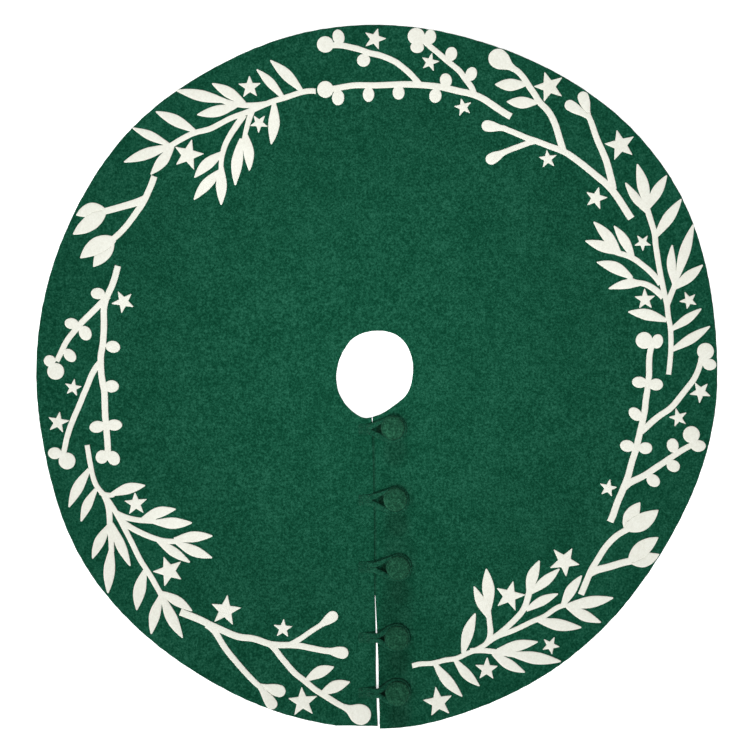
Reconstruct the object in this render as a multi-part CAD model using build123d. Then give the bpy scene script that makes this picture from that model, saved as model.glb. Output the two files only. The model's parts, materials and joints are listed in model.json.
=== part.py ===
from build123d import *
import math
import os

# Tree skirt: a round felt panel with a trunk hole and a slit, closed by five felt loops and
# five covered buttons, with cut felt sprigs and stars laid on top. It lies flat: +Z is up,
# the underside is z = 0, the slit runs towards -Y. All sizes are in millimetres.

os.makedirs("parts", exist_ok=True)

# ---- driving dimensions ----
FELT = 3.0                # thickness of the round panel
TRIM = 2.0                # thickness of the cut felt sprigs and stars
TOP = FELT                # height of the panel's upper face
RIM_CENTRE = (1.6, -0.3)  # centre the rim radii are measured from
HOLE_CENTRE = (-4.0, 6.0)  # centre the hole radii are measured from
FOLD_TOP = (-77.9, -14.0)  # fold line of the front flap, where it passes the hole
FOLD_SLOPE = 0.180        # how far the fold line moves to -X for each mm towards the rim
HEAD_R = 26.0             # button head radius
HEAD_LOW = 5.2            # underside of the button head
HEAD_TOP = 19.0           # top of the domed head
COVER = 1.6               # felt cover thickness on the button
SHANK_R = 4.5             # thread shank between head and panel
STITCH_R = 1.5            # bundle of stitches through the panel
STITCH_HOLE_R = 1.8       # hole the stitches make in the felt
LOOP_IN = 26.6            # inner radius of a loop round the head
LOOP_OUT = 30.6           # outer radius of a loop
CORD = 6.0                # height of the loop cord
LOOP_LIFT = 0.3           # gap between a loop and the panel below it
TAIL_HALF = 15.5          # half width of the two strands side by side
TAIL_LEFT = -41.0         # left end of the tails on the flap
LOOP_ROOT = -12.0         # where a tail ends and the free loop starts
FORK = -3.0               # where the two strands part

# button centres, from the hole to the rim
BUTTONS = [(36, -113), (41, -270), (47, -420), (44, -574), (45, -695)]

# rim radius at each angle, degrees from +X: a hand-cut circle
RIM = [(0, 748), (15, 758), (30, 777), (45, 782), (60, 776), (75, 772), (85, 774), (105, 774),
       (120, 769), (135, 769), (150, 760), (165, 754), (180, 751), (195, 752), (210, 764),
       (225, 765), (240, 764), (255, 770), (265, 773), (275, 773), (285, 763), (300, 752),
       (315, 741), (330, 735), (345, 742)]

# trunk hole radius at each angle, degrees from +X
HOLE = [(0, 83), (30, 90), (60, 98), (90, 95), (120, 92), (150, 85), (180, 85), (210, 90),
        (240, 96), (255, 99), (270, 93), (285, 86), (300, 81), (330, 83)]

# the flap's outer edge is cut a little straighter than the rim, next to the slit
FLAP_EDGE = [(-88, -767.2), (8, -768.9), (8, -790), (-88, -790)]

# the two cut edges of the slit, from inside the hole to beyond the rim
SLIT_LEFT = [(-11.5, -60), (-8, -183), (-6.2, -271), (-5.2, -381), (-4.4, -491), (-4, -560),
             (-3.4, -650), (-1, -711), (2, -768), (3.5, -800)]
SLIT_RIGHT = [(-10.7, -60), (-7.2, -183), (-5.4, -271), (-4.4, -381), (-3.4, -470),
              (0.5, -531), (4, -590), (5.4, -640), (5, -680), (6, -720), (6.6, -773), (7, -800)]


def spin(u, v, x, y, angle):
    """A point given along and across a direction, turned and moved into place."""
    c = math.cos(angle)
    s = math.sin(angle)
    return (x + u * c - v * s, y + u * s + v * c)


def smooth(points):
    """A curve through the points, or a straight edge when there are only two."""
    if len(points) == 2:
        return Line(points[0], points[1])
    return Spline(points)


def ribbon(points, width, tip_width=None):
    """A stem: a strip along a curve, tapering from width to tip_width."""
    tip_width = tip_width or width
    last = len(points) - 1
    left = []
    right = []
    for i, (x, y) in enumerate(points):
        ax, ay = points[max(i - 1, 0)]
        bx, by = points[min(i + 1, last)]
        length = math.hypot(bx - ax, by - ay)
        half = (width + (tip_width - width) * i / last) / 2
        nx = (ay - by) / length * half
        ny = (bx - ax) / length * half
        left.append((x + nx, y + ny))
        right.append((x - nx, y - ny))
    edges = [smooth(left), Line(left[-1], right[-1]), smooth(right[::-1]), Line(right[0], left[0])]
    return make_face(edges)


def leaf(bx, by, tx, ty, width, bow=0.0):
    """A pointed leaf from its narrow base to its tip; bow bends it to the left of its way."""
    length = math.hypot(tx - bx, ty - by)
    angle = math.atan2(ty - by, tx - bx)
    half = width / 2

    def at(share, side):
        bend = bow * 4 * share * (1 - share)
        return spin(share * length, side + bend, bx, by, angle)

    end = 1 - 1.6 / length
    rows = [(0, 4.2), (0.25, 0.76 * half), (0.5, half), (0.75, 0.73 * half), (end, 1.9)]
    left = [at(share, side) for share, side in rows]
    right = [at(share, -side) for share, side in rows]
    tip = ThreePointArc(left[-1], at(1, 0), right[-1])
    edges = [Spline(left), tip, Spline(right[::-1]), Line(right[0], left[0])]
    return make_face(edges)


def petal(bx, by, tx, ty, width, bow=0.0):
    """A broad flower petal: fuller than a leaf, widest a third of the way up."""
    length = math.hypot(tx - bx, ty - by)
    angle = math.atan2(ty - by, tx - bx)
    half = width / 2

    def at(share, side):
        bend = bow * 4 * share * (1 - share)
        return spin(share * length, side + bend, bx, by, angle)

    end = 1 - 1.6 / length
    rows = [(0, 6.0), (0.2, 0.83 * half), (0.42, half), (0.7, 0.78 * half), (end, 2.0)]
    left = [at(share, side) for share, side in rows]
    right = [at(share, -side) for share, side in rows]
    tip = ThreePointArc(left[-1], at(1, 0), right[-1])
    edges = [Spline(left), tip, Spline(right[::-1]), Line(right[0], left[0])]
    return make_face(edges)


def drop(nx, ny, cx, cy, radius, neck):
    """A bud: a stem end that swells smoothly into a round tip centred on (cx, cy)."""
    far = math.hypot(cx - nx, cy - ny)
    angle = math.atan2(cy - ny, cx - nx)
    half = neck / 2

    def at(u, v):
        return spin(u, v, nx, ny, angle)

    left = Bezier(at(0, half), at(0.45 * far, half), at(0.5 * far, radius), at(far, radius))
    right = Bezier(at(far, -radius), at(0.5 * far, -radius), at(0.45 * far, -half), at(0, -half))
    cap = ThreePointArc(at(far, radius), at(far + radius, 0), at(far, -radius))
    return make_face([left, cap, right, Line(at(0, -half), at(0, half))])


def berry(x, y, half_x, half_y, turn=0.0):
    """A round berry, a little longer one way than the other."""
    return Pos(x, y) * Rot(0, 0, turn) * Ellipse(half_x, half_y)


def star(x, y, radius, turn):
    """A five-pointed star whose arms are not quite alike, as scissors leave them."""
    points = []
    for i in range(10):
        angle = math.radians(turn + 36 * i)
        uneven = 1 + 0.04 * math.sin(2.3 * i + 0.07 * x)
        reach = (radius + 2.5) * uneven if i % 2 == 0 else radius * 0.45
        points.append((x + reach * math.cos(angle), y + reach * math.sin(angle)))
    face = make_face(Polyline(*points, close=True))
    return fillet(face.vertices(), 1.0)


def join(shapes):
    """One flat outline from overlapping shapes, with no pinholes where they meet."""
    whole = Sketch() + shapes[0]
    for shape in shapes[1:]:
        whole = whole + shape
    solid_faces = [make_face(face.outer_wire().edges()) for face in whole.faces()]
    return Sketch() + solid_faces


def trim(outline):
    """Cut felt lying on the panel."""
    return extrude(Pos(0, 0, TOP) * outline, TRIM)


def save(name, shape, solids=1):
    found = len(shape.solids())
    if found != solids:
        print("solid count", name, found)
    export_step(shape, "parts/" + name + ".step")
    box = shape.bounding_box()
    print(name, found, round(shape.volume), [round(v, 1) for v in box.min], [round(v, 1) for v in box.max])


# ---- the round panel ----
def polar(rows, centre):
    points = []
    for angle, radius in rows:
        a = math.radians(angle)
        points.append((centre[0] + radius * math.cos(a), centre[1] + radius * math.sin(a)))
    return points


def fold_x(y):
    """Where the fold line is at a given y."""
    return FOLD_TOP[0] + FOLD_SLOPE * (y - FOLD_TOP[1])


rim = make_face(Spline(polar(RIM, RIM_CENTRE), periodic=True))
hole = make_face(Spline(polar(HOLE, HOLE_CENTRE), periodic=True))
disc = rim - hole

fold_a = (fold_x(-20), -20)
fold_b = (fold_x(-800), -800)
flap_area = make_face([Spline(SLIT_LEFT), Line(SLIT_LEFT[-1], fold_b), Line(fold_b, fold_a),
                       Line(fold_a, SLIT_LEFT[0])])
cut_area = make_face([Spline(SLIT_RIGHT), Line(SLIT_RIGHT[-1], fold_b), Line(fold_b, fold_a),
                      Line(fold_a, SLIT_RIGHT[0])])
stitch_holes = [Pos(x, y) * Circle(STITCH_HOLE_R) for x, y in BUTTONS]
main_outline = disc - cut_area - stitch_holes
flap_outline = (disc & flap_area) - make_face(Polyline(*FLAP_EDGE, close=True))
save("skirt_main", extrude(main_outline, FELT))
save("skirt_flap", extrude(flap_outline, FELT))

# ---- leafy sprigs: stem, side branches, then leaves (base, tip, width) ----
leafy_top_left = join([
    ribbon([(-134, 628), (-165, 626), (-195, 616), (-222, 608), (-255, 595), (-290, 580),
            (-320, 569), (-345, 556), (-370, 544), (-398, 537), (-430, 522), (-455, 507)], 12),
    ribbon([(-240, 601), (-280, 597), (-308, 599), (-345, 610)], 12),
    ribbon([(-272, 592), (-283, 558), (-292, 522)], 14, 9),
    ribbon([(-292, 576), (-318, 538), (-335, 505), (-341, 480), (-341, 440)], 14, 10),
    leaf(-165, 629, -234, 696, 24, -2), leaf(-206, 614, -264, 676, 20, -2),
    leaf(-290, 601, -362, 645, 24, -2), leaf(-330, 606, -441, 630, 25),
    leaf(-308, 596, -395, 576, 25, 2), leaf(-400, 540, -486, 583, 25, -2),
    leaf(-226, 603, -232, 511, 25, 3), leaf(-289, 535, -280, 453, 23, 3),
    leaf(-297, 524, -311, 421, 25, -3), leaf(-337, 493, -401, 438, 25, -4),
    leaf(-341, 455, -402, 389, 24, -3), leaf(-341, 462, -342, 378, 24),
    leaf(-457, 510, -537, 547, 20, -1), leaf(-455, 507, -556, 472, 25, -1),
    leaf(-448, 508, -497, 445, 24, 2)])

leafy_bottom_left = join([
    ribbon([(-637, -150), (-632, -180), (-627, -207), (-617, -238), (-600, -260), (-585, -280),
            (-570, -305), (-549, -344), (-534, -374), (-518, -406), (-503, -429), (-487, -456),
            (-473, -481)], 11, 12),
    ribbon([(-598, -263), (-589, -290), (-587, -318), (-585, -345), (-583, -385)], 14, 12),
    ribbon([(-608, -254), (-594, -260), (-577, -259)], 11),
    ribbon([(-572, -300), (-545, -311), (-515, -316), (-485, -318)], 13, 11),
    ribbon([(-560, -318), (-525, -340), (-500, -351), (-480, -358), (-455, -362), (-434, -361)],
           13, 11),
    leaf(-632, -203, -677, -287, 24, -3), leaf(-617, -247, -650, -318, 21, -3),
    leaf(-588, -326, -625, -400, 23, -3), leaf(-583, -375, -591, -476, 25, -1),
    leaf(-583, -322, -542, -416, 22, -1), leaf(-584, -259, -509, -239, 24, 3),
    leaf(-517, -314, -442, -291, 24, 4), leaf(-492, -319, -406, -321, 25, -2),
    leaf(-446, -358, -361, -350, 24, 2), leaf(-441, -364, -362, -398, 24, -2),
    leaf(-482, -360, -411, -408, 21, -1), leaf(-509, -424, -528, -513, 27, -3),
    leaf(-474, -480, -496, -566, 24, -3), leaf(-471, -482, -427, -574, 25, -3),
    leaf(-475, -474, -406, -515, 22, 2)])

leafy_bottom_right = join([
    ribbon([(78, -636), (100, -631), (122, -630), (150, -623), (176, -619), (195, -610),
            (215, -602), (237, -590), (258, -575), (290, -562), (320, -549), (345, -537),
            (368, -527), (393, -510), (420, -502)], 11),
    ribbon([(205, -603), (235, -602), (262, -605), (300, -611)], 12),
    ribbon([(240, -588), (250, -563), (249, -546), (247, -530), (247, -500)], 13, 11),
    ribbon([(258, -573), (284, -553), (300, -538), (317, -520), (327, -503), (333, -483),
            (337, -470)], 12, 14),
    leaf(127, -630, 188, -703, 24, -3), leaf(172, -622, 226, -680, 22, -3),
    leaf(265, -602, 354, -583, 24, 1), leaf(292, -609, 405, -626, 27, -1),
    leaf(255, -608, 326, -650, 23, -3), leaf(351, -534, 450, -551, 26, -3),
    leaf(190, -608, 217, -520, 25, 3), leaf(246, -530, 214, -461, 21, 1),
    leaf(248, -512, 241, -422, 27, -1), leaf(334, -478, 358, -404, 25, 4),
    leaf(338, -475, 402, -422, 22, -1), leaf(329, -513, 399, -477, 21, 2),
    leaf(408, -506, 451, -437, 23, 3), leaf(418, -503, 520, -486, 26, -1),
    leaf(418, -505, 493, -540, 24, -2)])

leafy_top_right = join([
    ribbon([(642, 5), (645, 33), (647, 60), (647, 87), (645, 113), (641, 133), (639, 153),
            (635, 173), (630, 195), (625, 220), (620, 248), (616, 273), (613, 295), (611, 315),
            (605, 336), (599, 355), (594, 373)], 11, 13),
    ribbon([(638, 158), (646, 178), (654, 198), (662, 230)], 13, 11),
    ribbon([(630, 175), (610, 193), (592, 203), (570, 208), (552, 217)], 15, 11),
    ribbon([(624, 204), (603, 230), (583, 247), (563, 261), (540, 270), (525, 274)], 13, 12),
    leaf(648, 58, 733, 111, 22, -1), leaf(646, 103, 714, 150, 20, -1),
    leaf(654, 204, 650, 290, 20, 4), leaf(660, 215, 697, 336, 24, 1),
    leaf(652, 194, 717, 246, 24, -1), leaf(613, 308, 670, 391, 25, 0),
    leaf(637, 124, 553, 143, 25, -3), leaf(592, 206, 510, 194, 21, -4),
    leaf(562, 216, 484, 252, 26, -6), leaf(538, 271, 459, 299, 24, -1),
    leaf(535, 271, 477, 341, 24, -3), leaf(564, 261, 522, 332, 22, -3),
    leaf(597, 360, 547, 427, 19, 2), leaf(595, 372, 573, 468, 26, -2),
    leaf(596, 370, 638, 443, 24, 1)])

# ---- berry sprigs ----
berries_left = join([
    ribbon([(-569, 244), (-575, 221), (-583, 198), (-591, 181), (-597, 165), (-600, 149),
            (-600, 129), (-600, 106), (-601, 87), (-603, 67), (-606, 51), (-607, 31),
            (-606, 12), (-603, -11), (-599, -34), (-598, -60), (-597, -86), (-595, -109),
            (-593, -132), (-591, -170)], 14),
    ribbon([(-590, 178), (-606, 162), (-619, 149), (-635, 133), (-651, 117), (-665, 100),
            (-678, 84), (-688, 67), (-697, 48), (-704, 34)], 14, 12),
    ribbon([(-604, 36), (-619, 18), (-629, -1), (-637, -21), (-645, -40), (-653, -60),
            (-663, -83), (-671, -102), (-678, -122), (-683, -141), (-689, -172)], 13, 12),
    berry(-613, 183, 15.5, 12.5, -5), berry(-671, 117, 15.5, 12, -10),
    berry(-641, 96, 13.5, 16.5, 25), berry(-675, 47, 12, 16.5, 40), berry(-719, 35, 13, 12.5),
    berry(-706, 12, 18.5, 18.5), berry(-580, 66, 16, 13, -10), berry(-583, -21, 16, 13.5),
    berry(-615, -110, 17, 13, 12), berry(-577, -106, 17, 12.2), berry(-604, -176, 14, 15, -25),
    berry(-579, -179, 13.5, 16.5, 30), berry(-708, -168, 15, 13), berry(-681, -185, 18.5, 18.5)])

berries_right = join([
    ribbon([(513, -319), (521, -301), (528, -280), (536, -261), (544, -242), (551, -224),
            (557, -203), (563, -181), (570, -160), (576, -135), (581, -114), (586, -92),
            (590, -71), (592, -50), (595, -31), (597, -12), (599, 6), (599, 27), (600, 46),
            (605, 68)], 15, 13),
    ribbon([(545, -243), (562, -230), (577, -223), (592, -215), (608, -204), (623, -194),
            (639, -183), (654, -173), (669, -163), (685, -154), (700, -146)], 15, 12),
    ribbon([(581, -121), (596, -108), (608, -97), (623, -85), (641, -73), (654, -61),
            (666, -46), (678, -31), (688, -18), (699, -3), (706, 12), (711, 27), (714, 42)],
           14, 12),
    berry(608, -228, 16, 13, -40), berry(652, -196, 15, 13, -30), berry(651, -151, 13, 15.5, 10),
    berry(692, -127, 18.5, 18.5), berry(707, -152, 16.5, 13), berry(551, -152, 16, 13, -10),
    berry(591, -157, 15, 13, 5), berry(569, -82, 17, 12.5, -45), berry(578, -12, 16.5, 12.5, -6),
    berry(614, -17, 15.5, 13), berry(588, 80, 18.5, 18.5), berry(617, 78, 12.5, 16, -15),
    berry(723, 56, 18.5, 18.5), berry(732, 27, 15, 12.5, -8)])

berries_top = join([
    ribbon([(295, 572), (275, 584), (253, 599), (231, 613), (208, 622), (186, 627), (164, 632),
            (141, 637), (118, 640), (93, 642), (70, 643), (48, 643), (26, 642), (3, 641),
            (-22, 641), (-47, 641), (-70, 638), (-98, 633)], 15, 13),
    ribbon([(214, 620), (207, 639), (197, 652), (183, 671), (167, 685), (151, 698), (135, 712),
            (119, 725), (98, 744)], 13, 12),
    ribbon([(97, 640), (86, 653), (74, 666), (58, 680), (42, 692), (23, 701), (3, 708),
            (-16, 712), (-35, 719), (-54, 724), (-73, 728), (-97, 729)], 13),
    berry(152, 652, 13, 15.5, 10), berry(129, 618, 13.5, 15.5, -10), berry(48, 625, 13, 15.5),
    berry(-18, 621, 12.5, 16.5), berry(-85, 614, 13.5, 17), berry(-113, 632, 18, 18.5),
    berry(208, 666, 12.5, 15.5, -20), berry(164, 710, 13, 15.5, -10),
    berry(118, 748, 12.5, 16), berry(87, 749, 19, 18.5), berry(89, 725, 15, 13),
    berry(-29, 696, 14.5, 14), berry(-84, 747, 13, 17, 15), berry(-113, 731, 18.5, 18)])

# ---- flower sprigs ----
bud_left_stems = join([
    ribbon([(-489, 441), (-497, 419), (-506, 399), (-515, 381), (-526, 365), (-538, 348),
            (-551, 331), (-564, 317), (-582, 301)], 14, 13),
    ribbon([(-508, 392), (-530, 383), (-550, 377), (-571, 371), (-602, 363)], 17, 14)])
bud_left_a = petal(-598, 366, -661, 355, 32, -6)
bud_left_b = petal(-599, 361, -668, 313, 34, 1)
bud_left_c = petal(-576, 303, -652, 261, 37, -6)
bud_left_d = petal(-582, 300, -623, 242, 33, 1)
flowers_left = join([bud_left_stems, bud_left_b, bud_left_c])

bud_right_stems = join([
    ribbon([(449, -479), (455, -465), (463, -445), (471, -427), (480, -411), (490, -395),
            (500, -379), (513, -363), (527, -350), (541, -341), (557, -332)], 14, 13),
    ribbon([(470, -432), (490, -423), (510, -418), (530, -412), (560, -405)], 16, 15)])
bud_right_a = petal(548, -334, 579, -276, 32, 3)
bud_right_b = petal(547, -334, 619, -293, 38, -5)
bud_right_c = petal(557, -404, 619, -353, 34, 3)
bud_right_d = petal(557, -405, 621, -390, 31, -5)
flowers_right = join([bud_right_stems, bud_right_b, bud_right_c])

bud_bottom_all = join([
    ribbon([(-432, -517), (-409, -526), (-387, -535), (-365, -546), (-343, -556), (-318, -567),
            (-298, -573), (-277, -575), (-255, -581), (-233, -588), (-212, -590), (-190, -590),
            (-168, -592), (-143, -597), (-108, -603)], 16, 13),
    drop(-112, -602, -75, -607, 13, 13),
    ribbon([(-196, -592), (-168, -576), (-149, -563), (-124, -547)], 12, 11),
    drop(-127, -549, -97, -527, 12, 11),
    ribbon([(-236, -588), (-224, -599), (-212, -615), (-196, -634), (-180, -652), (-162, -666),
            (-149, -677), (-131, -691), (-118, -699), (-96, -713), (-66, -729)], 13),
    drop(-72, -726, -35, -743, 22.5, 14),
    leaf(-154, -666, -94, -638, 26, 3), leaf(-122, -697, -59, -671, 26, 3),
    ribbon([(-374, -546), (-353, -565), (-342, -583), (-328, -604), (-309, -627), (-290, -649),
            (-274, -666), (-254, -684)], 14, 12),
    drop(-258, -680, -231, -719, 12.5, 12)])
bud_bottom_petal = drop(-258, -679, -214, -691, 13.5, 10)

bud_top_stems = join([
    ribbon([(560, 348), (547, 368), (533, 390), (519, 409), (505, 424), (488, 438), (471, 452),
            (455, 465), (438, 478), (421, 490), (403, 499), (380, 507), (362, 514), (345, 520),
            (328, 526), (312, 533), (295, 540), (276, 548)], 16, 12),
    drop(281, 546, 243, 552, 12.5, 12),
    ribbon([(350, 518), (333, 514), (317, 508), (300, 502), (282, 494)], 12),
    drop(286, 497, 252, 479, 12.5, 12),
    ribbon([(411, 494), (403, 521), (396, 544), (390, 561), (383, 575), (373, 589), (359, 603),
            (348, 620), (337, 636), (326, 653), (315, 667), (298, 679)], 15, 13),
    drop(303, 676, 267, 700, 21.5, 14),
    leaf(328, 643, 260, 643, 27, 1), leaf(352, 603, 286, 605, 26, 1),
    ribbon([(520, 412), (515, 437), (510, 457), (503, 480), (495, 499), (484, 524), (476, 547),
            (470, 564), (462, 579)], 16, 12),
    drop(465, 572, 425, 597, 12, 12)])
bud_top_petal = drop(468, 571, 454, 615, 12.5, 9)

trims = {
    "sprig_leafy_top_left": leafy_top_left,
    "sprig_leafy_bottom_left": leafy_bottom_left,
    "sprig_leafy_bottom_right": leafy_bottom_right,
    "sprig_leafy_top_right": leafy_top_right,
    "sprig_berries_left": berries_left,
    "sprig_berries_right": berries_right,
    "sprig_berries_top": berries_top,
    "sprig_flowers_left": flowers_left,
    "sprig_flowers_right": flowers_right,
    "sprig_flowers_top": bud_top_stems,
    "sprig_flowers_bottom": bud_bottom_all - flap_area,
    "sprig_flowers_bottom_flap": bud_bottom_all & flap_area,
    "petal_left_upper": bud_left_a - flowers_left,
    "petal_left_lower": bud_left_d - flowers_left,
    "petal_right_upper": bud_right_a - flowers_right,
    "petal_right_lower": bud_right_d - flowers_right,
    "petal_bottom": bud_bottom_petal - bud_bottom_all,
    "petal_top": bud_top_petal - bud_top_stems,
}
for name, outline in trims.items():
    save(name, trim(outline))

# ---- stars: centre, radius, direction of one arm in degrees ----
LARGE_STARS = [(-415, 488, 33, 4), (379, 638, 33, 35), (536, 510, 33.5, 32), (413, -406, 33, 60),
               (292, -482, 32.5, 4), (135, -716, 32.5, 27), (-163, -715, 32, 22),
               (-333, -514, 33, 10), (-457, -427, 33, 38)]
SMALL_STARS = {
    "top_left": [(-4, 743, 24, 2), (-279, 637, 24.5, 20), (-259, 557.5, 19.5, 52), (-557, 165, 24.5, 45)],
    "top_right": [(117, 692, 19.5, 5), (190, 593, 19, 31), (376, 479, 19.5, 24), (482, 393, 24, 3),
                  (585, 295, 18, 55), (590, 170, 22.5, 20), (686, 168, 19, 43)],
    "bottom_right": [(712, -33, 23.5, 49), (663, -90, 20, 32), (509, -245, 19, 6),
                     (382, -591, 19, 64), (242, -643, 25, 16)],
    "bottom_left": [(-206, -554, 20.5, 14), (-530, -279, 25, 22), (-701, -100, 23, 8),
                    (-668, -24, 18.5, 8)],
}
for number, row in enumerate(LARGE_STARS, 1):
    save("star_large_" + str(number), trim(star(*row)))
for place, rows in SMALL_STARS.items():
    save("stars_small_" + place, trim(join([star(*row) for row in rows])), len(rows))


# ---- buttons and loops ----
def head_profile(inset):
    """Half of the button's section, in the XZ plane, pulled in by inset all round."""
    low = HEAD_LOW + inset
    high = HEAD_TOP - inset
    edge = HEAD_R - inset
    side = Spline([(edge - 3.0, low), (edge - 0.5, low + 1.4), (edge, low + 3.2)],
                  tangents=[(1, 0.1), (0, 1)])
    dome = Spline([(edge, low + 3.2), (edge * 0.72, high - 2.9), (0, high)],
                  tangents=[(0, 1), (-1, 0)])
    lines = [Line((0, low), (edge - 3.0, low)), side, dome, Line((0, high), (0, low))]
    return make_face([Plane.XZ.location * line for line in lines])


def loop_shape(x, y):
    """The free part of a loop: two strands that part at the fork and go round the head."""
    reach = x - LOOP_ROOT
    lean = math.acos((LOOP_OUT - TAIL_HALF) / math.hypot(reach, 0))
    touch_x = x - LOOP_OUT * math.cos(lean)
    touch_y = LOOP_OUT * math.sin(lean)
    body = make_face(Polyline((LOOP_ROOT, y - TAIL_HALF), (touch_x, y - touch_y),
                              (touch_x, y + touch_y), (LOOP_ROOT, y + TAIL_HALF), close=True))
    outer = body + Pos(x, y) * Circle(LOOP_OUT)
    far = x - FORK
    open_lean = math.acos(LOOP_IN / far)
    in_x = x - LOOP_IN * math.cos(open_lean)
    in_y = LOOP_IN * math.sin(open_lean)
    inner = make_face(Polyline((FORK, y), (in_x, y - in_y), (in_x, y + in_y), close=True))
    inner = inner + Pos(x, y) * Circle(LOOP_IN)
    return outer - inner


for number, (x, y) in enumerate(BUTTONS, 1):
    key = "button_" + str(number)
    head = Pos(x, y, 0) * revolve(head_profile(0), Axis.Z)
    core_space = Pos(x, y, 0) * revolve(head_profile(COVER), Axis.Z)
    core = Pos(x, y, 0) * revolve(head_profile(COVER + 0.1), Axis.Z)
    shank_way = Pos(x, y, HEAD_LOW - 1) * extrude(Circle(SHANK_R + 0.1), COVER + 2)
    save(key + "_cover", head - core_space - shank_way)
    save(key + "_core", core)
    shank = Pos(x, y, TOP) * extrude(Circle(SHANK_R), HEAD_LOW + COVER + 0.1 - TOP)
    stitches = Pos(x, y, 0) * extrude(Circle(STITCH_R), TOP + 0.5)
    save(key + "_thread", shank + stitches)

    key = "loop_" + str(number)
    free = Pos(0, 0, TOP + LOOP_LIFT) * extrude(loop_shape(x, y), CORD)
    flat_edges = free.edges().filter_by(Plane.XY)
    save(key, fillet(flat_edges, 1.8))
    tail = Pos((TAIL_LEFT + LOOP_ROOT) / 2, y, TOP + CORD / 2)
    block = tail * Box(LOOP_ROOT - TAIL_LEFT, 2 * TAIL_HALF, CORD)
    groove = Pos((TAIL_LEFT + LOOP_ROOT) / 2, y, TOP + CORD) * Rot(45, 0, 0) * Box(60, 1.6, 1.6)
    long_edges = block.edges().filter_by(Axis.X).group_by(Axis.Z)[-1]
    end_edges = block.edges().filter_by(Axis.Y).group_by(Axis.Z)[-1].sort_by(Axis.X)[0]
    save(key + "_tail", fillet(long_edges + [end_edges], 1.8) - groove)
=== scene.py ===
import json
import math

import bpy
import numpy as np
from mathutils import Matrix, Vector, noise
from mathutils.bvhtree import BVHTree
from mathutils.geometry import delaunay_2d_cdt


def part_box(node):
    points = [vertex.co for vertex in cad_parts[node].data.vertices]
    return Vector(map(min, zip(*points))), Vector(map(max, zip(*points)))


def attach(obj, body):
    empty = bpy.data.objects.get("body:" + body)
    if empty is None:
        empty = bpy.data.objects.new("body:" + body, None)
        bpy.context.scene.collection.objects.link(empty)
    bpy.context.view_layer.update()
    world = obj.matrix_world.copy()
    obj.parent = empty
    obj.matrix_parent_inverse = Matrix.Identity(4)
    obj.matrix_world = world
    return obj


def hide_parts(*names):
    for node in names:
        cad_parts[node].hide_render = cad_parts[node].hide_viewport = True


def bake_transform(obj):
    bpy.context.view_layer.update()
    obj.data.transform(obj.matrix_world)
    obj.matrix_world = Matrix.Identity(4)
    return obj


# A round felt tree skirt laid flat: green panel with a trunk hole and a slit, ivory cut felt sprigs and
# stars on top, and five felt loops over covered buttons. Shapes are worked out in millimetres in the
# model's own frame and written to meshes in metres.

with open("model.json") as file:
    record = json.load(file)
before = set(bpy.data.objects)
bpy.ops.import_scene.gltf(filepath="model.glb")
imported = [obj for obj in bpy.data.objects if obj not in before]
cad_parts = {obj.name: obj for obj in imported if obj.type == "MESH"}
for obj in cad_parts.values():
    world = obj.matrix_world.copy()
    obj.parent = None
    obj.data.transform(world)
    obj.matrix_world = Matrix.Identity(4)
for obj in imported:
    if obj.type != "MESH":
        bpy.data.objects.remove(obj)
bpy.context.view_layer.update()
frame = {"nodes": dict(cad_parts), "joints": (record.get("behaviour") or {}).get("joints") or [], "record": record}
nodes = frame["nodes"]

MM = 0.001
FELT = 3.0          # thickness of the green panel
TRIM = 2.0          # thickness of the ivory pieces
LOOPS = range(1, 6)


def centre_of(node):
    low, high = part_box(node)
    return ((low.x + high.x) / 2 / MM, (low.y + high.y) / 2 / MM)


BUTTONS = {n: centre_of(f"button_{n}_core") for n in LOOPS}


# ---- camera, lights and floor ----
VIEW_WIDTH = 1.661      # what the picture's width covers at the felt, in metres
VIEW_SHIFT = 0.00165    # the skirt sits a little up and to the left of the picture's middle
LENS = 100.0
SENSOR = 36.0
FAR = 50.0              # how far the camera sees, in metres


# the room's light: sine of the height where the wall starts to dim and where the ceiling starts
WALL_TOP = 0.12
CEILING_EDGE = 0.42
WALL_LIGHT = 0.92
CEILING_LIGHT = 0.16


def make_camera():
    """Straight above the skirt, with the slit at the bottom of the picture."""
    data = bpy.data.cameras.new("camera")
    data.lens = LENS
    data.sensor_width = SENSOR
    data.clip_end = FAR
    camera = bpy.data.objects.new("camera", data)
    height = VIEW_WIDTH * data.lens / data.sensor_width
    camera.location = (VIEW_SHIFT, -VIEW_SHIFT, height + FELT * MM)
    bpy.context.scene.collection.objects.link(camera)
    bpy.context.scene.camera = camera


def aim(light, place, target=(0.0, 0.0, 0.0)):
    """Puts a light at a place and turns it to a target on the skirt."""
    light.location = place
    light.rotation_mode = "QUATERNION"
    light.rotation_quaternion = (Vector(place) - Vector(target)).to_track_quat("Z", "Y")
    bpy.context.scene.collection.objects.link(light)


def make_room():
    """A dim even light from above that brightens towards the horizon, like a pale studio wall."""
    world = bpy.data.worlds.new("studio")
    world.use_nodes = True
    tree = world.node_tree
    axes = tree.nodes.new("ShaderNodeSeparateXYZ")
    tree.links.new(tree.nodes.new("ShaderNodeTexCoord").outputs["Generated"], axes.inputs[0])
    wall = tree.nodes.new("ShaderNodeMapRange")
    wall.inputs["From Min"].default_value = WALL_TOP
    wall.inputs["From Max"].default_value = CEILING_EDGE
    wall.inputs["To Min"].default_value = WALL_LIGHT
    wall.inputs["To Max"].default_value = CEILING_LIGHT
    tree.nodes["Background"].inputs["Color"].default_value = (1.0, 1.0, 1.0, 1.0)
    tree.links.new(axes.outputs["Z"], wall.inputs["Value"])
    tree.links.new(wall.outputs["Result"], tree.nodes["Background"].inputs["Strength"])
    return world


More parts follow.
